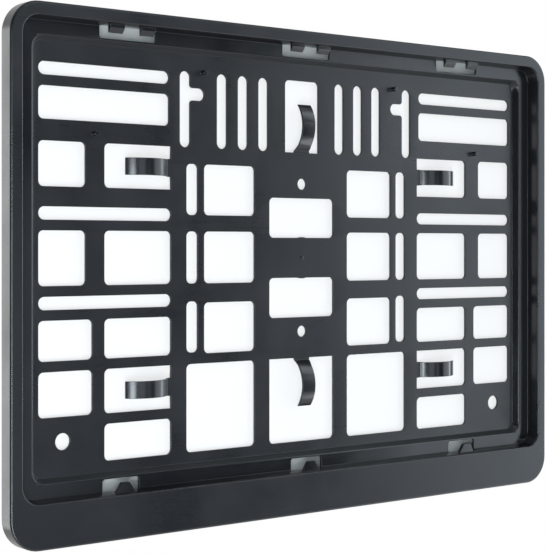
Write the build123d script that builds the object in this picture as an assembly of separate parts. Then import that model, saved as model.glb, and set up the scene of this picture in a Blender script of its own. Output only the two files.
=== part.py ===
from build123d import *
from math import atan2, degrees
import os

# Number plate holder: one plastic moulding for a two-line plate.
# A hollow bezel surrounds a stepped tray. The plate drops in from the front, its lower
# edge behind three tabs and its upper edge under six snap hooks, and six arched leaf
# springs, moulded in one with the tray floor, press it forward against them.
# The moulding is drawn lying on its back: X along the plate, Y up the plate, Z to the
# front, Z = 0 on the mounting face. The last step stands it up, front towards -Y.

# Plate and pocket
plate_length = 340.0
plate_height = 220.0
plate_thickness = 1.2
plate_gap = 0.7            # round the plate, where the pocket meets the ledge
lead_in = 1.2              # inward slope of the pocket wall, from the front to the ledge

# Frame section
side_border = 6.3          # front face at the sides and the top
bottom_border = 21.3       # front face of the bar below the plate
lip_depth = 7.4            # front face to ledge
ledge_side = 7.6           # ledge width at the left and right
ledge_end = 6.6            # ledge width at the top and bottom
ledge_thickness = 1.4
tray_depth = 3.6           # ledge to floor
tray_slope = 2.2           # inward slope of the tray wall over its depth
floor_thickness = 1.3
wall = 1.6
outer_corner = 15.0
tray_corner = 6.5
front_round = 1.2          # outer edge of the front face
lip_bevel = 0.4            # inner edge of the front face
ledge_bevel = 0.3          # edge between ledge and tray

# Ribs inside the hollow bottom bar
bar_rib_pitch = 42.0
bar_rib_thickness = 1.4
bar_rib_setback = 1.0      # from the back of the skirt

# Floor grid: margins, webs and slots are set, and the windows share what is left
side_margin = 3.0
top_margin = 9.65
bottom_margin = 5.2
rib = 5.0
broad_rib = 9.7
cross_rib = 8.2
spring_shelf = 9.4         # web below the upper spring row
spring_beam = 10.1         # web above the upper spring row
slot_rib = 3.9             # web between the square windows and the short slots
post_inner = 9.3           # web between the short slots and the inner column
post_upper = 10.5          # web between the two outer columns, upper rows
post_lower = 6.7           # the same web, lower rows
slot_width = 6.2
short_slot_width = 6.9
short_slot_lift = 0.75     # lowest short slot above the square window beside it
window_corner = 2.6
row_shares = (15.6, 21.3, 26.0, 19.0, 21.25, 17.7)
column_shares = (21.75, 31.95, 38.5, 25.4)

# Upright slots beside the upper spring
spring_window_width = 22.6
slot_post = 11.45          # web between the spring window and the first slot
upright_rise = 0.9         # upper ends above those of the lying slots
upright_shares = (7.05, 7.05, 7.9)
long_setback = 1.25        # inner ends of the long windows, out from the inner column
key_web = 6.55             # web between the key slot and the long windows
key_reach = 8.65           # side branch of the key slot
key_drop = 11.2            # top of the key slot to the middle of its branch
key_corner = 1.6

# Centre of the floor
centre_window_height = 20.8
gate_land = 10.5           # gate to the nearest window edges
gate_disc = 21.8
gate_width = 2.2
gate_height = 0.6
centre_hole = 5.8
centre_hole_spacing = 77.6
corner_hole = 8.0
corner_hole_inset = 16.0   # from the side edge of the floor
corner_hole_rise = 16.3    # above the lower edge of the floor

# Rest pins
pin_width = 2.6
pin_height = 3.4
pin_sides = 10
upper_pin_web = 7.4        # upper pin to the key slot
upper_pin_drop = 0.15      # upper pin below the ends of the upright slots
lower_pin_web = 4.5        # lower pin to the outer column
lower_pin_rise = 4.25      # lower pin above the spring row

# Leaf springs
leaf_width = 8.4
leaf_thickness = 1.2
leaf_root = 1.0            # length let into the floor
leaf_flare_run = 4.0       # length over which the root narrows to the leaf
leaf_length = 27.2         # leaves along the plate
leaf_flat = 2.3            # level with the floor, before the leaf bends up
leaf_flare = 0.35          # extra width at each side of the root
leaf_tip_rise = 1.4
upright_leaf_length = 25.2
upright_leaf_flat = 1.0
upright_leaf_flare = 0.9
upright_leaf_tip_rise = 2.1
spring_preload = 1.3       # travel taken up by the plate

# Snap hooks in the upper windows of the ledge
hook_spacing = 111.0
hook_window = 32.0
hook_width = 8.2
hook_pair = 17.6           # between the middles of two hooks
hook_setback = 2.7         # front face to hook
hook_length = 2.2          # along the depth, down to the catch face
hook_facet = 1.65
hook_ramp = 2.55

# Tabs in the lower windows of the ledge
tab_spacing = 115.0
tab_window = 20.6
tab_setback = 3.0
tab_base = 11.4
tab_top = 4.5
tab_height = 4.9
clip_web = 0.8             # left of the ledge beside each window
clip_bevel = 0.9           # corners of each window beside the tray

# Levels above the mounting face
floor_level = floor_thickness
ledge_level = floor_level + tray_depth
front_level = ledge_level + lip_depth
skirt_level = ledge_level - ledge_thickness
catch_level = front_level - hook_setback - hook_length
crest_level = catch_level - plate_thickness + spring_preload

# Outlines
pocket_length = plate_length + 2 * plate_gap
pocket_height = plate_height + 2 * plate_gap
mouth_length = pocket_length + 2 * lead_in
mouth_height = pocket_height + 2 * lead_in
mouth_corner = outer_corner - side_border
pocket_corner = mouth_corner - lead_in
outer_length = mouth_length + 2 * side_border
outer_height = mouth_height + side_border + bottom_border
outer_middle = (side_border - bottom_border) / 2
tray_length = pocket_length - 2 * ledge_side
tray_height = pocket_height - 2 * ledge_end
floor_length = tray_length - 2 * tray_slope
floor_height = tray_height - 2 * tray_slope
floor_corner = tray_corner - tray_slope


def outline(length, height, corner, level, middle=0.0):
    """A rounded rectangle at one level, its middle on the Y axis."""
    return Pos(0, middle, level) * RectangleRounded(length, height, corner)


def drafted(length, height, corner, level, depth, slope):
    """A plug with its wide end at a level, drafted inwards by a slope towards the back."""
    plug = extrude(RectangleRounded(length, height, corner), depth,
                   taper=degrees(atan2(slope, depth)))
    return Pos(0, 0, level) * Rot(180, 0, 0) * plug


def tray_plug(level, depth, offset):
    """The form of the tray from a level back, moved out by an offset."""
    run = tray_slope * (level - floor_level) / tray_depth + offset
    return drafted(floor_length + 2 * run, floor_height + 2 * run, floor_corner + run, level,
                   depth, tray_slope * depth / tray_depth)


def pocket_plug(offset):
    """The form of the pocket from the front face to the ledge, moved out by an offset."""
    return drafted(mouth_length + 2 * offset, mouth_height + 2 * offset, mouth_corner + offset,
                   front_level, lip_depth, lead_in)


def pocket_edge(level):
    """Distance of the upper and lower pocket walls from the middle, at a level."""
    return pocket_height / 2 + lead_in * (level - ledge_level) / lip_depth


def frame_and_tray():
    """The stepped shell, with its rounds and bevels, before any window is cut."""
    block = extrude(outline(outer_length, outer_height, outer_corner, skirt_level, outer_middle),
                    front_level - skirt_level)
    block = fillet(block.faces().sort_by(Axis.Z)[-1].edges(), front_round)
    tray_top = ledge_level - ledge_thickness / 2
    block += tray_plug(tray_top, tray_top, wall)
    block -= pocket_plug(0)
    block -= tray_plug(ledge_level, tray_depth, 0)
    front_face = block.faces().sort_by(Axis.Z)[-1]
    block = chamfer(front_face.inner_wires()[0].edges(), lip_bevel)
    flats = block.faces().filter_by(Axis.Z)
    ledge_face = flats.sort_by(lambda face: abs(face.center().Z - ledge_level))[0]
    return chamfer(ledge_face.inner_wires()[0].edges(), ledge_bevel)


def bezel_hollow():
    """The space behind the bezel, open at the back, with the ribs of the bottom bar left in."""
    roof = front_level - wall
    below = skirt_level - wall
    hollow = extrude(outline(outer_length - 2 * wall, outer_height - 2 * wall,
                             outer_corner - wall, below, outer_middle), roof - below)
    hollow -= extrude(outline(pocket_length + 2 * wall, pocket_height + 2 * wall,
                              pocket_corner + wall, below), ledge_level - below)
    hollow -= pocket_plug(wall)
    bar_middle = -(mouth_height + bottom_border) / 2
    rib_depth = roof - skirt_level - bar_rib_setback
    half_count = int((outer_length / 2 - outer_corner) / bar_rib_pitch)
    for step in range(-half_count, half_count + 1):
        place = Pos(step * bar_rib_pitch, bar_middle, roof - rib_depth / 2)
        hollow -= place * Box(bar_rib_thickness, bottom_border, rib_depth)
    return hollow


def spans(start, sizes, webs):
    """Low and high ends of a run of windows, with a web after each."""
    ends = []
    for size, web in zip(sizes, webs):
        ends.append((start, start + size))
        start += size + web
    return ends


def grid_rows():
    """Spans of the nine rows, upwards from the lowest one."""
    webs = (rib, rib, rib, rib, rib, spring_shelf, spring_beam, rib, top_margin)
    left = floor_height - bottom_margin - sum(webs) - 3 * slot_width
    unit = left / sum(row_shares)
    long_row, spring_row, middle, lower, low_spring, foot = [share * unit for share in row_shares]
    sizes = (foot, low_spring, lower, slot_width, middle, slot_width, spring_row, long_row,
             slot_width)
    return spans(bottom_margin - floor_height / 2, sizes, webs)


def grid_columns():
    """Spans of the columns, outwards from the middle: centre, square, slot, inner, outer."""
    webs = (broad_rib, slot_rib, post_inner, post_upper, side_margin)
    left = floor_length / 2 - sum(webs) - short_slot_width
    unit = left / sum(column_shares)
    centre, square, inner, outer = [share * unit for share in column_shares]
    return spans(0, (centre, square, short_slot_width, inner, outer), webs)


rows = grid_rows()
foot_row, low_spring_row, lower_row, low_slot, middle_row, high_slot, spring_row, long_row, top_slot = rows
columns = grid_columns()
centre_column, square_column, slot_column, inner_column, outer_column = columns
wide_column = (inner_column[0], outer_column[1])
long_column = (inner_column[0] + long_setback, outer_column[1])
lower_column = (inner_column[1] + post_lower, outer_column[1])
upright_row = (spring_row[1], top_slot[1] + upright_rise)
bottom_row = (foot_row[0], low_spring_row[1])


def length_of(span):
    """The length of a span."""
    return span[1] - span[0]


def middle_of(across, up):
    """The place in the middle of two spans, in X and Y."""
    return Pos(sum(across) / 2, sum(up) / 2)


def window(across, up):
    """A window of the floor with rounded corners."""
    return middle_of(across, up) * RectangleRounded(length_of(across), length_of(up), window_corner)


def slot(across, up):
    """A window with full round ends, lying or upright."""
    length = length_of(across)
    height = length_of(up)
    if length > height:
        return middle_of(across, up) * SlotOverall(length, height)
    return middle_of(across, up) * SlotOverall(height, length, rotation=90)


def square_end(across, up):
    """The plain rectangle that squares the corners where a spring is rooted."""
    return middle_of(across, up) * Rectangle(length_of(across), length_of(up))


def key_slot():
    """An upright slot with a round-ended branch towards the middle."""
    outer_edge = long_column[0] - key_web
    across = (outer_edge - slot_width, outer_edge)
    branch = upright_row[1] - key_drop
    tip = across[0] - key_reach
    shape = slot(across, upright_row)
    shape += slot((tip, outer_edge), (branch - slot_width / 2, branch + slot_width / 2))
    crotch = shape.vertices().filter_by_position(Axis.X, across[0] - 0.01, across[0] + 0.01)
    crotch = crotch.filter_by_position(Axis.Y, branch - slot_width, branch + slot_width)
    return fillet(crotch, key_corner), tip


def upright_columns(key_tip):
    """Spans of the upright slots between the spring window and the key slot."""
    first = spring_window_width / 2 + slot_post
    widths = [slot_width] * len(upright_shares)
    unit = (key_tip - first - sum(widths)) / sum(upright_shares)
    return spans(first, widths, [share * unit for share in upright_shares])


def right_half_windows():
    """Every window right of the middle; the left half mirrors it."""
    key, key_tip = key_slot()
    shapes = [key]
    shapes += [slot(across, upright_row) for across in upright_columns(key_tip)]
    shapes += [slot(wide_column, high_slot), slot(wide_column, low_slot), slot(long_column, top_slot)]
    shapes += [window(long_column, long_row), window(inner_column, foot_row)]
    for up in (spring_row, middle_row):
        shapes += [window(inner_column, up), window(outer_column, up)]
    for up in (lower_row, low_spring_row):
        shapes += [window(inner_column, up), window(lower_column, up)]
    for up in (spring_row, low_spring_row):
        shapes.append(square_end((inner_column[0], inner_column[0] + leaf_length / 2), up))
    square_rows = ((middle_row[1] + cross_rib, spring_row[1] - cross_rib), middle_row,
                   (lower_row[0], middle_row[0] - broad_rib))
    for up, lift in zip(square_rows, (0, 0, short_slot_lift)):
        shapes.append(window(square_column, up))
        shapes.append(window(slot_column, (up[0] + lift, up[1] + lift)))
    shapes.append(window((square_column[0], slot_column[1]), bottom_row))
    corner = Pos(floor_length / 2 - corner_hole_inset, corner_hole_rise - floor_height / 2)
    shapes.append(corner * Circle(corner_hole / 2))
    return Sketch() + shapes


def centre_windows():
    """Windows on the middle line: two beside the gate, two with a spring, and two holes."""
    across = (-centre_column[1], centre_column[1])
    narrow = (-spring_window_width / 2, spring_window_width / 2)
    half_leaf = upright_leaf_length / 2
    shapes = [window(narrow, upright_row), window(across, bottom_row)]
    shapes.append(square_end(narrow, (upright_row[0], upright_row[0] + half_leaf)))
    shapes.append(square_end(across, (bottom_row[1] - half_leaf, bottom_row[1])))
    for side in (-1, 1):
        ends = sorted((side * gate_land, side * (gate_land + centre_window_height)))
        shapes.append(window(across, ends) - Circle(gate_disc / 2))
        shapes.append(Pos(0, side * centre_hole_spacing / 2) * Circle(centre_hole / 2))
    return Sketch() + shapes


def floor_cut():
    """All windows and holes of the floor, as one cut."""
    half = right_half_windows()
    pattern = half + mirror(half, about=Plane.YZ) + centre_windows()
    return extrude(Pos(0, 0, -floor_thickness) * pattern, 3 * floor_thickness)


def leaf_spring(length, flat, flare, tip_rise):
    """An arched leaf along X: level at its flared root, up to its crest and down to its free tip."""
    thick = Vector(0, leaf_thickness)
    back = Vector(-leaf_root, floor_level)
    bend = Vector(flat, floor_level)
    crest = Vector((flat + length) / 2, crest_level)
    tip = Vector(length, floor_level + tip_rise)
    side = [Line(back, bend), ThreePointArc(bend, crest, tip), Line(tip, tip - thick),
            ThreePointArc(tip - thick, crest - thick, bend - thick), Line(bend - thick, back - thick),
            Line(back - thick, back)]
    half = leaf_width / 2
    root_half = half + flare
    plan = Polyline((-leaf_root, -root_half), (0, -root_half), (leaf_flare_run, -half), (length, -half),
                    (length, half), (leaf_flare_run, half), (0, root_half), (-leaf_root, root_half),
                    close=True)
    arch = extrude(Plane.XZ * make_face(side), root_half, both=True)
    return arch & extrude(make_face(plan), front_level)


def leaf_springs():
    """Four leaves pointing outwards along the plate, one up and one down."""
    upright = leaf_spring(upright_leaf_length, upright_leaf_flat, upright_leaf_flare,
                          upright_leaf_tip_rise)
    lying = leaf_spring(leaf_length, leaf_flat, leaf_flare, leaf_tip_rise)
    leaves = [Pos(0, upright_row[0]) * Rot(0, 0, 90) * upright,
              Pos(0, bottom_row[1]) * Rot(0, 0, -90) * upright]
    for up in (spring_row, low_spring_row):
        middle = sum(up) / 2
        leaves += [Pos(inner_column[0], middle) * lying,
                   Pos(-inner_column[0], middle) * Rot(0, 0, 180) * lying]
    return leaves


def clip_window(middle, length, side):
    """The window behind a clip: through the ledge, and up to the catch face."""
    near = tray_height / 2 + clip_web
    far = pocket_edge(catch_level)
    place = Pos(middle, side * (near + far) / 2, 0)
    shape = place * Rectangle(length, far - near)
    corners = shape.vertices().sort_by(lambda corner: abs(corner.Y))[:2]
    return extrude(chamfer(corners, clip_bevel), catch_level)


def snap_hook(middle):
    """A hook under the upper lip: front facet, ramp for the plate, flat catch face."""
    front = front_level - hook_setback
    edge = pocket_edge(front)
    buried = edge + wall / 2
    profile = Polyline((buried, front), (edge - hook_facet, front),
                       (edge - hook_facet - hook_ramp, catch_level), (buried, catch_level),
                       close=True)
    plane = Plane(origin=(middle, 0, 0), x_dir=(0, 1, 0), z_dir=(1, 0, 0))
    return extrude(plane * make_face(profile), hook_width / 2, both=True)


def foot_tab(middle):
    """A flat tab standing up from the lower lip, narrower at its top."""
    front = front_level - tab_setback
    edge = -pocket_edge(front)
    buried = edge - wall / 2
    profile = Polyline((middle - tab_base / 2, buried), (middle - tab_base / 2, edge),
                       (middle - tab_top / 2, edge + tab_height),
                       (middle + tab_top / 2, edge + tab_height),
                       (middle + tab_base / 2, edge), (middle + tab_base / 2, buried), close=True)
    return extrude(Pos(0, 0, catch_level) * make_face(profile), front - catch_level)


def stud(x, y, width, height):
    """A small round stud on the floor, rooted halfway into it."""
    foot = floor_level / 2
    return extrude(Pos(x, y, foot) * RegularPolygon(width / 2, pin_sides), floor_level - foot + height)


def pins_and_gate():
    """Rest pins on the floor, and the stub left by the moulding gate."""
    upper = (long_column[0] - key_web - slot_width - upper_pin_web, upright_row[1] - upper_pin_drop)
    lower = (outer_column[0] - lower_pin_web, spring_row[1] + lower_pin_rise)
    studs = [stud(0, 0, gate_width, gate_height)]
    for x, y in (upper, lower):
        studs += [stud(side * x, y, pin_width, pin_height) for side in (-1, 1)]
    return studs


holder = frame_and_tray() - bezel_hollow() - floor_cut()
for step in (-1, 0, 1):
    holder -= clip_window(step * hook_spacing, hook_window, 1)
    holder -= clip_window(step * tab_spacing, tab_window, -1)
holder += leaf_springs()
for step in (-1, 0, 1):
    holder += foot_tab(step * tab_spacing)
    for side in (-1, 1):
        holder += snap_hook(step * hook_spacing + side * hook_pair / 2)
holder += pins_and_gate()

plate_holder = Rot(90, 0, 0) * holder
plate_holder.label = "plate_holder"

os.makedirs("parts", exist_ok=True)
export_step(plate_holder, "parts/plate_holder.step")
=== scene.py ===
import math

import bmesh
import bpy
from bpy.props import FloatProperty, FloatVectorProperty, IntProperty, PointerProperty
from bpy.types import NodeSocket, Operator, Panel, PropertyGroup
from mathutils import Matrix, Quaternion, Vector


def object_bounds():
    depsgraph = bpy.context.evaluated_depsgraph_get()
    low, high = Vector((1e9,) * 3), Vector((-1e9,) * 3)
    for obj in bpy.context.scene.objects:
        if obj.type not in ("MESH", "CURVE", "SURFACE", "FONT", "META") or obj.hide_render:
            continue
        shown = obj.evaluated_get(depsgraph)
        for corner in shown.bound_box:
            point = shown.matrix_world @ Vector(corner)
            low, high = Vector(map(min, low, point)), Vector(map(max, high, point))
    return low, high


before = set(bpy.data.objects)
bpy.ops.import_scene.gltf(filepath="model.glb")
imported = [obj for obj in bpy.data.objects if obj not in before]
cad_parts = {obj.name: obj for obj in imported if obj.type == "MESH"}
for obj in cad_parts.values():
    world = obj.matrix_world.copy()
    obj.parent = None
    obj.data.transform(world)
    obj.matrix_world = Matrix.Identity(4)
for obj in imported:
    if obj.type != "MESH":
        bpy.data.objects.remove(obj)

bl_info = {
    "name": "Number plate holder",
    "version": (1, 0, 0),
    "blender": (4, 5, 0),
    "location": "3D View > Sidebar > Plate holder",
    "description": "Finish, soft edges and studio for a moulded number plate holder",
    "category": "Object",
}

HOLDER = "plate_holder"
CAD_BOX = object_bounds()
WHITE = (1.0, 1.0, 1.0, 1.0)

# Half length and half height of the areas that differ in gloss, in metres. The tray's two ends
# belong to the glossy step, so the tray is no longer than the floor here.
FLOOR_HALF = (0.1609, 0.1019)
TRAY_HALF = (0.1609, 0.1041)
LIP_HALF = (0.1722, 0.1122)
LEAF_HALF = (0.150, 0.095)
# Depths between which the finish and painted shade of the step, and the finish of the leaf springs, fade
# in
STEP_DEPTH = (-0.0118, -0.0095)
LEAF_DEPTH = (-0.0015, -0.003)

# Clouds of gloss and colour, and flow lines along the moulding
CLOUD_SCALE = 24.0
CLOUD_DETAIL = 4.0
CLOUD_ROUGHNESS = 0.6
CLOUD_SPREAD = 0.18
TINT_SPREAD = 0.14
FLOW_SCALE = (35.0, 400.0, 900.0)
FLOW_DETAIL = 3.0
FLOW_SHARE = 0.25
GRAIN_DETAIL = 2.0
PLASTIC_IOR = 1.5
MERGE_DISTANCE = 1e-6

# Paper behind the holder: its colour, and the share of plain white in what the camera sees
WHITE_PAPER_HALF = Vector((0.163, 0.0, 0.1035))
WHITE_PAPER_COLOUR = (0.80, 0.79, 0.77)
WHITE_PAPER_SHARE = 0.62
# Grey sheet behind the white one: painted shade, a darker paper where white paper would lie in the
# holder's shadow behind the clip windows.
SHADE_PAPER_INSET = Vector((0.006, 0.0, 0.006))
SHADE_PAPER_GAP = 0.0002
PAINTED_SHADE_PAPER_COLOUR = (0.5, 0.5, 0.48)
FLOOR_COLOUR = (0.9, 0.9, 0.9)
FLOOR_SHARE = 0.96
FLOOR_REACH = 2.0

# How far backward a mirrored ray looks where the white of the room begins, and where it is full
MIRRORED_WHITE = (0.0, 0.5)
SENSOR_WIDTH = 36.0

# Soft boxes: name, turn and lift from the holder's front and lean in degrees, then distance, width and
# height in metres. Each one's brightness is the studio's property of that name.
SOFT_BOXES = (
    ("camera_box", -39, -8, 0, 0.95, 0.25, 0.5),
    ("camera_low_box", -36, -30, 0, 1.0, 0.42, 0.44),
    ("middle_box", -7.5, -2, 0, 1.1, 0.45, 0.55),
    ("front_box", 17, -8, 0, 1.1, 0.27, 0.5),
    ("front_high_box", 19, 30, 0, 1.1, 0.27, 0.39),
    ("right_box", 59, 1, 12, 1.2, 0.75, 0.87),
    ("right_high_box", 52, 31, 0, 1.2, 0.32, 0.48),
    ("right_low_box", 58, -32, 0, 1.2, 0.32, 0.44),
    ("side_box", 91, 0, 0, 1.6, 0.95, 2.0),
    ("top_box", 0, 62, 0, 1.2, 2.0, 0.5),
    ("back_box", -147, -4, 0, 1.29, 0.55, 1.0),
)


class HolderFinish(PropertyGroup):
    """The black plastic of the moulding and the softness of its edges."""

    colour: FloatVectorProperty(
        name="Colour", description="Colour of the black plastic", subtype="COLOR",
        default=(0.0086, 0.0091, 0.0108), min=0.0, max=1.0)
    roughness: FloatProperty(
        name="Roughness", description="Roughness of the satin surface, before its mottling",
        subtype="FACTOR", default=0.31, min=0.0, max=1.0)
    step_roughness: FloatProperty(
        name="Step roughness", description="Roughness of the glossier step between the tray and the lip",
        subtype="FACTOR", default=0.19, min=0.0, max=1.0)
    leaf_roughness: FloatProperty(
        name="Leaf roughness", description="Roughness of the leaf springs, which are glossier",
        subtype="FACTOR", default=0.21, min=0.0, max=1.0)
    wall_roughness: FloatProperty(
        name="Wall roughness", description="Roughness of the tray's matt upper and lower sides",
        subtype="FACTOR", default=0.65, min=0.0, max=1.0)
    # Painted shade: the step's colour is darkened to stand for the shade in the recess between the tray
    # and the lip.
    step_painted_shade: FloatProperty(
        name="Step shade", description="Share of the colour that is left on the step",
        subtype="FACTOR", default=0.9, min=0.0, max=1.0)
    mottling: FloatProperty(
        name="Mottling", description="How far the roughness wanders over the surface",
        subtype="FACTOR", default=0.06, min=0.0, max=0.3)
    grain_size: FloatProperty(
        name="Grain size", description="Spacing of the fine moulded grain",
        unit="LENGTH", default=0.0005, min=0.0001, max=0.005, precision=5)
    grain_depth: FloatProperty(
        name="Grain depth", description="Depth of the fine moulded grain",
        unit="LENGTH", default=0.000002, min=0.0, max=0.0005, precision=6)
    flow_depth: FloatProperty(
        name="Flow depth", description="Depth of the faint flow lines along the moulding",
        unit="LENGTH", default=0.000002, min=0.0, max=0.0005, precision=6)
    edge_round: FloatProperty(
        name="Edge round", description="Small radius left by the mould along every edge",
        unit="LENGTH", default=0.00022, min=0.0, max=0.001, precision=5)
    edge_segments: IntProperty(
        name="Edge segments", description="Faces across each small radius", default=2, min=1, max=4)
    crease: FloatProperty(
        name="Crease", description="Edges that turn by more than this are rounded",
        subtype="ANGLE", default=math.radians(28.0), min=0.0, max=math.pi)


class HolderStudio(PropertyGroup):
    """Camera, paper, floor and lamps round the holder."""

    camera_place: FloatVectorProperty(
        name="Camera place", description="Where the camera stands", subtype="TRANSLATION",
        unit="LENGTH", default=(-0.5077, -0.6212, 0.00574))
    camera_turn: FloatProperty(
        name="Camera turn", description="Turn of the level camera to the right of the plate's axis",
        subtype="ANGLE", default=math.radians(38.222))
    camera_lens: FloatProperty(
        name="Lens", description="Focal length on a 36 mm sensor, in millimetres", default=98.79)
    camera_drop: FloatProperty(
        name="Frame drop", description="Vertical shift of the camera's frame", default=-0.05358)
    sheet_gap: FloatProperty(
        name="Sheet gap", description="White sheet behind the mounting face",
        unit="LENGTH", default=0.0012, precision=4)
    floor_drop: FloatProperty(
        name="Floor drop", description="Floor below the middle of the plate",
        unit="LENGTH", default=1.3)
    room_light: FloatProperty(
        name="Room light", description="Plain light from all round", default=0.03, min=0.0)
    lamp_colour: FloatVectorProperty(
        name="Lamp colour", description="Slightly cool colour of the lamps in front", subtype="COLOR",
        default=(0.90, 1.0, 1.08), min=0.0, max=2.0)
    back_colour: FloatVectorProperty(
        name="Back colour", description="Colour of the lamp behind on the left", subtype="COLOR",
        default=(0.96, 1.0, 1.0), min=0.0, max=2.0)
    camera_box: FloatProperty(
        name="Camera box", description="Brightness of the box beside the camera; 1 looks white",
        default=14.0, min=0.0)
    camera_low_box: FloatProperty(
        name="Low camera box", description="Brightness of the box below the camera; 1 looks white",
        default=7.0, min=0.0)
    middle_box: FloatProperty(
        name="Middle box", description="Brightness of the box straight in front; 1 looks white",
        default=1.5, min=0.0)
    front_box: FloatProperty(
        name="Front box", description="Brightness of the box a little to the right; 1 looks white",
        default=0.85, min=0.0)
    front_high_box: FloatProperty(
        name="High front box", description="Brightness of the box above the front one; 1 looks white",
        default=3.9, min=0.0)
    right_box: FloatProperty(
        name="Right box", description="Brightness of the broad box on the right; 1 looks white",
        default=1.9, min=0.0)
    right_high_box: FloatProperty(
        name="High right box", description="Brightness of the box above the right one; 1 looks white",
        default=2.8, min=0.0)
    right_low_box: FloatProperty(
        name="Low right box", description="Brightness of the box below the right one; 1 looks white",
        default=2.8, min=0.0)
    side_box: FloatProperty(
        name="Side box", description="Brightness of the box at the right end; 1 looks white",
        default=4.0, min=0.0)
    top_box: FloatProperty(
        name="Top box", description="Brightness of the box above; 1 looks white",
        default=1.0, min=0.0)
    back_box: FloatProperty(
        name="Back box", description="Brightness of the box behind on the left; 1 looks white",
        default=2.9, min=0.0)


def new_material(name):
    """A cleared node material with its output node."""
    material = bpy.data.materials.new(name)
    material.use_nodes = True
    nodes = material.node_tree.nodes
    nodes.clear()
    output = nodes.new("ShaderNodeOutputMaterial")
    output.location = (900, 0)
    return material, nodes, material.node_tree.links, output


def calculate(nodes, links, operation, *values):
    """The result of a Math node that is given sockets or plain numbers."""
    node = nodes.new("ShaderNodeMath")
    node.operation = operation
    for socket, value in zip(node.inputs, values):
        if isinstance(value, NodeSocket):
            links.new(value, socket)
        else:
            socket.default_value = value
    return node.outputs["Value"]


def remap(nodes, links, value, start, end):
    """A value that runs from 0 to 1 between a start and an end, and the Map Range node that makes it."""
    node = nodes.new("ShaderNodeMapRange")
    node.inputs["From Min"].default_value = start
    node.inputs["From Max"].default_value = end
    links.new(value, node.inputs["Value"])
    return node.outputs["Result"], node


def noise(nodes, links, vector, scale, detail, height):
    """A noise texture's node, placed at a height in the node editor."""
    node = nodes.new("ShaderNodeTexNoise")
    node.location = (-600, height)
    node.inputs["Scale"].default_value = scale
    node.inputs["Detail"].default_value = detail
    links.new(vector, node.inputs["Vector"])
    return node


def bump(nodes, links, height, depth, across):
    """A Bump node of a depth in metres, placed across the node editor."""
    node = nodes.new("ShaderNodeBump")
    node.location = (across, -250)
    node.inputs["Strength"].default_value = 1.0
    node.inputs["Distance"].default_value = depth
    links.new(height, node.inputs["Height"])
    return node


def blend_colours(nodes, links, factor, second, across):
    """A Mix node for colours with its factor and second colour set."""
    node = nodes.new("ShaderNodeMix")
    node.data_type = "RGBA"
    node.location = (across, 250)
    node.inputs["B"].default_value = (*second, 1.0)
    links.new(factor, node.inputs["Factor"])
    return node


def within(nodes, links, parts, half_length, half_height):
    """A mask of the upright rectangle round the middle of the plate."""
    along = calculate(nodes, links, "COMPARE", parts.outputs["X"], 0.0, half_length)
    upright = calculate(nodes, links, "COMPARE", parts.outputs["Z"], 0.0, half_height)
    return calculate(nodes, links, "MULTIPLY", along, upright)


def depth_mask(nodes, links, parts, area, depth):
    """A mask of an area, faded in between two depths."""
    fade, _ = remap(nodes, links, parts.outputs["Y"], *depth)
    return calculate(nodes, links, "MULTIPLY", area, fade)


def ring_mask(nodes, links, parts, outer, inner):
    """A mask between two rectangles, behind the front face."""
    ring = calculate(nodes, links, "SUBTRACT", within(nodes, links, parts, *outer),
                     within(nodes, links, parts, *inner))
    return depth_mask(nodes, links, parts, ring, STEP_DEPTH)


def scaled(colour, share):
    """A colour times a number."""
    return [share * value for value in colour]


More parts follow.
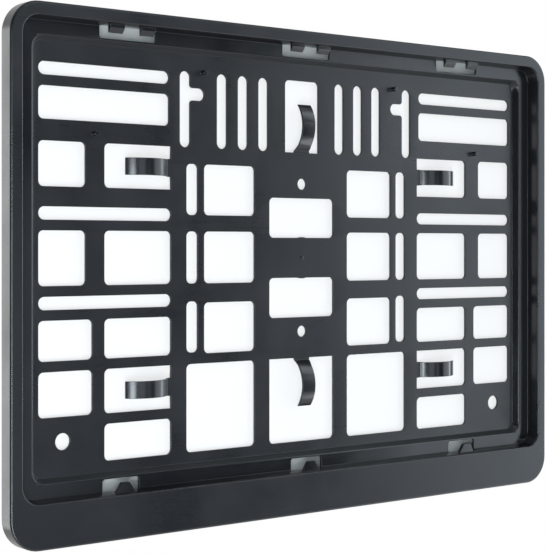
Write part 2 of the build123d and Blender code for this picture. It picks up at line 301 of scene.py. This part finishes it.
def satin_black(finish):
    """Satin black plastic: mottled gloss, fine grain and faint flow lines, with painted shade on the step
    round the tray.
    """
    material, nodes, links, output = new_material("satin_black_plastic")
    shader = nodes.new("ShaderNodeBsdfPrincipled")
    shader.location = (600, 0)
    shader.inputs["IOR"].default_value = PLASTIC_IOR
    links.new(shader.outputs["BSDF"], output.inputs["Surface"])
    place = nodes.new("ShaderNodeTexCoord")
    place.location = (-900, 0)
    spot = place.outputs["Object"]

    cloud = noise(nodes, links, spot, CLOUD_SCALE, CLOUD_DETAIL, 250)
    cloud.inputs["Roughness"].default_value = CLOUD_ROUGHNESS
    stretch = nodes.new("ShaderNodeMapping")
    stretch.location = (-750, -450)
    stretch.inputs["Scale"].default_value = FLOW_SCALE
    links.new(spot, stretch.inputs["Vector"])
    flow = noise(nodes, links, stretch.outputs["Vector"], 1.0, FLOW_DETAIL, -450)
    grain = noise(nodes, links, spot, 1.0 / finish.grain_size, GRAIN_DETAIL, -250)

    parts = nodes.new("ShaderNodeSeparateXYZ")
    links.new(spot, parts.inputs["Vector"])
    step = ring_mask(nodes, links, parts, LIP_HALF, TRAY_HALF)
    wall = ring_mask(nodes, links, parts, TRAY_HALF, FLOOR_HALF)
    leaf = depth_mask(nodes, links, parts, within(nodes, links, parts, *LEAF_HALF), LEAF_DEPTH)

    light = scaled(finish.colour, 1.0 + TINT_SPREAD)
    dark = scaled(finish.colour, 1.0 - TINT_SPREAD)
    tint = blend_colours(nodes, links, cloud.outputs["Fac"], light, 0)
    tint.inputs["A"].default_value = (*dark, 1.0)
    # Painted shade: the step between the tray and the lip gets a darker colour for the shade in that
    # recess.
    shaded = blend_colours(nodes, links, step, scaled(finish.colour, finish.step_painted_shade), 300)
    links.new(tint.outputs["Result"], shaded.inputs["A"])
    links.new(shaded.outputs["Result"], shader.inputs["Base Color"])

    level = None
    for mask, roughness in ((step, finish.step_roughness), (wall, finish.wall_roughness),
                            (leaf, finish.leaf_roughness)):
        part = nodes.new("ShaderNodeMix")
        part.inputs["A"].default_value = finish.roughness
        part.inputs["B"].default_value = roughness
        links.new(mask, part.inputs["Factor"])
        if level:
            links.new(level.outputs["Result"], part.inputs["A"])
        level = part
    both = calculate(nodes, links, "MULTIPLY_ADD", flow.outputs["Fac"], FLOW_SHARE, cloud.outputs["Fac"])
    middle = 0.5 * (1.0 + FLOW_SHARE)
    wander, span = remap(nodes, links, both, middle - CLOUD_SPREAD, middle + CLOUD_SPREAD)
    span.inputs["To Min"].default_value = -finish.mottling
    span.inputs["To Max"].default_value = finish.mottling
    gloss = calculate(nodes, links, "ADD", level.outputs["Result"], wander)
    links.new(gloss, shader.inputs["Roughness"])

    fine = bump(nodes, links, grain.outputs["Fac"], finish.grain_depth, 0)
    lines = bump(nodes, links, flow.outputs["Fac"], finish.flow_depth, 300)
    links.new(fine.outputs["Normal"], lines.inputs["Normal"])
    links.new(lines.outputs["Normal"], shader.inputs["Normal"])
    return material


def flush_back():
    """Geometry nodes that hold every point at or inside the high corner of the CAD box."""
    group = bpy.data.node_groups.new("flush_back", "GeometryNodeTree")
    group.interface.new_socket("Geometry", in_out="INPUT", socket_type="NodeSocketGeometry")
    group.interface.new_socket("Geometry", in_out="OUTPUT", socket_type="NodeSocketGeometry")
    start = group.nodes.new("NodeGroupInput")
    end = group.nodes.new("NodeGroupOutput")
    place = group.nodes.new("GeometryNodeInputPosition")
    limit = group.nodes.new("ShaderNodeVectorMath")
    limit.operation = "MINIMUM"
    limit.inputs[1].default_value = CAD_BOX[1]
    move = group.nodes.new("GeometryNodeSetPosition")
    group.links.new(start.outputs["Geometry"], move.inputs["Geometry"])
    group.links.new(place.outputs["Position"], limit.inputs[0])
    group.links.new(limit.outputs["Vector"], move.inputs["Position"])
    group.links.new(move.outputs["Geometry"], end.inputs["Geometry"])
    return group


class OBJECT_OT_holder_finish(Operator):
    """Rounds the edges of the moulding a little and gives it its black plastic"""

    bl_idname = "object.plate_holder_finish"
    bl_label = "Finish the moulding"

    def execute(self, context):
        finish = context.scene.plate_holder_finish
        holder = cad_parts[HOLDER]
        weld = holder.modifiers.new("merge_corners", "WELD")
        weld.merge_threshold = MERGE_DISTANCE
        soften = holder.modifiers.new("mould_radius", "BEVEL")
        soften.width = finish.edge_round
        soften.segments = finish.edge_segments
        soften.limit_method = "ANGLE"
        soften.angle_limit = finish.crease
        soften.use_clamp_overlap = False
        soften.loop_slide = False
        holder.modifiers.new("flush_back", "NODES").node_group = flush_back()
        even = holder.modifiers.new("even_shading", "WEIGHTED_NORMAL")
        even.mode = "FACE_AREA_WITH_ANGLE"
        holder.data.materials.clear()
        holder.data.materials.append(satin_black(finish))
        return {"FINISHED"}


def flat_sheet(name, corners, material):
    """One flat quad with its corners in place, as a stage piece."""
    mesh = bpy.data.meshes.new(name)
    shape = bmesh.new()
    bmesh.ops.create_grid(shape, x_segments=1, y_segments=1, size=0.5)
    for vertex, corner in zip(shape.verts, corners):
        vertex.co = corner
    shape.normal_update()
    shape.to_mesh(mesh)
    shape.free()
    piece = bpy.data.objects.new(name, mesh)
    bpy.context.scene.collection.objects.link(piece)
    mesh.materials.append(material)


def white_for_camera(name, colour, share):
    """A pale matt surface that looks white by a share, directly and mirrored, and keeps its shadow."""
    material, nodes, links, output = new_material(name)
    path = nodes.new("ShaderNodeLightPath")
    matt = nodes.new("ShaderNodeBsdfDiffuse")
    matt.inputs["Color"].default_value = (*colour, 1.0)
    glow = nodes.new("ShaderNodeEmission")
    glow.inputs["Color"].default_value = WHITE
    seen = calculate(nodes, links, "MAXIMUM", path.outputs["Is Camera Ray"], path.outputs["Is Glossy Ray"])
    part = calculate(nodes, links, "MULTIPLY", seen, share)
    mix = nodes.new("ShaderNodeMixShader")
    links.new(part, mix.inputs["Fac"])
    links.new(matt.outputs["BSDF"], mix.inputs[1])
    links.new(glow.outputs["Emission"], mix.inputs[2])
    links.new(mix.outputs["Shader"], output.inputs["Surface"])
    return material, nodes, links, output, mix


def soft_box(name, aim, distance, size, brightness, colour):
    """A rectangular lamp that faces the holder, aimed by a turn, a lift and a lean in degrees.

    The turn and lift start at the holder's front. A mirror would show the lamp at the given brightness.
    """
    data = bpy.data.lights.new(name, "AREA")
    data.color = colour
    data.shape = "RECTANGLE"
    data.size, data.size_y = size
    data.energy = brightness * math.pi * size[0] * size[1]
    turn, lift, lean = (math.radians(angle) for angle in aim)
    toward = Vector((math.cos(lift) * math.sin(turn), -math.cos(lift) * math.cos(turn), math.sin(lift)))
    facing = toward.to_track_quat("Z", "Y") @ Quaternion((0.0, 0.0, 1.0), lean)
    lamp = bpy.data.objects.new(name, data)
    lamp.location = distance * toward
    lamp.rotation_euler = facing.to_euler()
    bpy.context.scene.collection.objects.link(lamp)


class SCENE_OT_holder_stage(Operator):
    """Sets the paper, floor, world, soft boxes and camera round the holder"""

    bl_idname = "scene.plate_holder_stage"
    bl_label = "Set the stage"

    def execute(self, context):
        studio = context.scene.plate_holder_studio
        self.sheets_and_floor(studio)
        self.world(studio)
        self.lamps(studio)
        self.camera(context, studio)
        context.scene.view_settings.view_transform = "Standard"
        return {"FINISHED"}

    def sheets_and_floor(self, studio):
        """White paper, and grey paper that paints the shade behind the clip windows, close behind the
        holder, seen only from the front, and a pale floor.
        """
        low, high = CAD_BOX
        self.paper("white_sheet", -WHITE_PAPER_HALF, WHITE_PAPER_HALF, studio.sheet_gap,
                   WHITE_PAPER_COLOUR, WHITE_PAPER_SHARE)
        # The grey sheet is painted shade: darker paper standing for white paper in the holder's shadow.
        self.paper("painted_shade_sheet", low + SHADE_PAPER_INSET, high - SHADE_PAPER_INSET,
                   studio.sheet_gap + SHADE_PAPER_GAP, PAINTED_SHADE_PAPER_COLOUR, 0.0)
        pale = white_for_camera("pale_floor", FLOOR_COLOUR, FLOOR_SHARE)[0]
        ends = (-FLOOR_REACH, FLOOR_REACH)
        flat_sheet("floor", [(x, y, -studio.floor_drop) for y in ends for x in ends], pale)

    def paper(self, name, low, high, gap, colour, share):
        """A sheet between two corners, a gap behind the holder, and clear from the back."""
        material, nodes, links, output, mix = white_for_camera(name, colour, share)
        clear = nodes.new("ShaderNodeBsdfTransparent")
        side = nodes.new("ShaderNodeNewGeometry")
        front_only = nodes.new("ShaderNodeMixShader")
        links.new(side.outputs["Backfacing"], front_only.inputs["Fac"])
        links.new(mix.outputs["Shader"], front_only.inputs[1])
        links.new(clear.outputs["BSDF"], front_only.inputs[2])
        links.new(front_only.outputs["Shader"], output.inputs["Surface"])
        flat_sheet(name, [(x, gap, z) for z in (low.z, high.z) for x in (low.x, high.x)], material)

    def world(self, studio):
        """White where the camera looks and behind the holder, and plain light elsewhere."""
        world = bpy.data.worlds.new("white_room")
        bpy.context.scene.world = world
        world.use_nodes = True
        nodes = world.node_tree.nodes
        links = world.node_tree.links
        nodes.clear()
        output = nodes.new("ShaderNodeOutputWorld")
        path = nodes.new("ShaderNodeLightPath")
        white = nodes.new("ShaderNodeBackground")
        white.inputs["Color"].default_value = WHITE
        plain = nodes.new("ShaderNodeBackground")
        plain.inputs["Color"].default_value = (*studio.lamp_colour, 1.0)
        plain.inputs["Strength"].default_value = studio.room_light
        toward = nodes.new("ShaderNodeTexCoord")
        parts = nodes.new("ShaderNodeSeparateXYZ")
        links.new(toward.outputs["Generated"], parts.inputs["Vector"])
        behind, fade = remap(nodes, links, parts.outputs["Y"], *MIRRORED_WHITE)
        fade.interpolation_type = "SMOOTHSTEP"
        mirrored = calculate(nodes, links, "MULTIPLY", path.outputs["Is Glossy Ray"], behind)
        direct = calculate(nodes, links, "MAXIMUM", path.outputs["Is Camera Ray"],
                           path.outputs["Is Transmission Ray"])
        seen = calculate(nodes, links, "MAXIMUM", direct, mirrored)
        mix = nodes.new("ShaderNodeMixShader")
        links.new(seen, mix.inputs["Fac"])
        links.new(plain.outputs["Background"], mix.inputs[1])
        links.new(white.outputs["Background"], mix.inputs[2])
        links.new(mix.outputs["Shader"], output.inputs["Surface"])

    def lamps(self, studio):
        """Soft boxes beside and below the camera, in front, on the right, above and behind on the left."""
        for name, turn, lift, lean, distance, width, height in SOFT_BOXES:
            colour = studio.back_colour if name == "back_box" else studio.lamp_colour
            soft_box(name, (turn, lift, lean), distance, (width, height), getattr(studio, name), colour)

    def camera(self, context, studio):
        """A level camera, turned to the right, with its frame lowered a little."""
        data = bpy.data.cameras.new("camera")
        data.sensor_width = SENSOR_WIDTH
        data.lens = studio.camera_lens
        data.shift_y = studio.camera_drop
        camera = bpy.data.objects.new("camera", data)
        camera.location = studio.camera_place
        camera.rotation_euler = (math.pi / 2, 0.0, -studio.camera_turn)
        context.scene.collection.objects.link(camera)
        context.scene.camera = camera


class VIEW3D_PT_plate_holder(Panel):
    """Lists the finish and the stage of the holder"""

    bl_idname = "VIEW3D_PT_plate_holder"
    bl_label = "Number plate holder"
    bl_space_type = "VIEW_3D"
    bl_region_type = "UI"
    bl_category = "Plate holder"

    def draw(self, context):
        layout = self.layout
        for group, operator in ((context.scene.plate_holder_finish, OBJECT_OT_holder_finish),
                                (context.scene.plate_holder_studio, SCENE_OT_holder_stage)):
            column = layout.column()
            for name in group.__annotations__:
                column.prop(group, name)
            column.operator(operator.bl_idname)


CLASSES = (HolderFinish, HolderStudio, OBJECT_OT_holder_finish, SCENE_OT_holder_stage,
           VIEW3D_PT_plate_holder)


def register():
    for item in CLASSES:
        bpy.utils.register_class(item)
    bpy.types.Scene.plate_holder_finish = PointerProperty(type=HolderFinish)
    bpy.types.Scene.plate_holder_studio = PointerProperty(type=HolderStudio)


def unregister():
    del bpy.types.Scene.plate_holder_studio
    del bpy.types.Scene.plate_holder_finish
    for item in reversed(CLASSES):
        bpy.utils.unregister_class(item)


def main():
    register()
    bpy.ops.object.plate_holder_finish()
    bpy.ops.scene.plate_holder_stage()


if __name__ == "__main__":
    main()
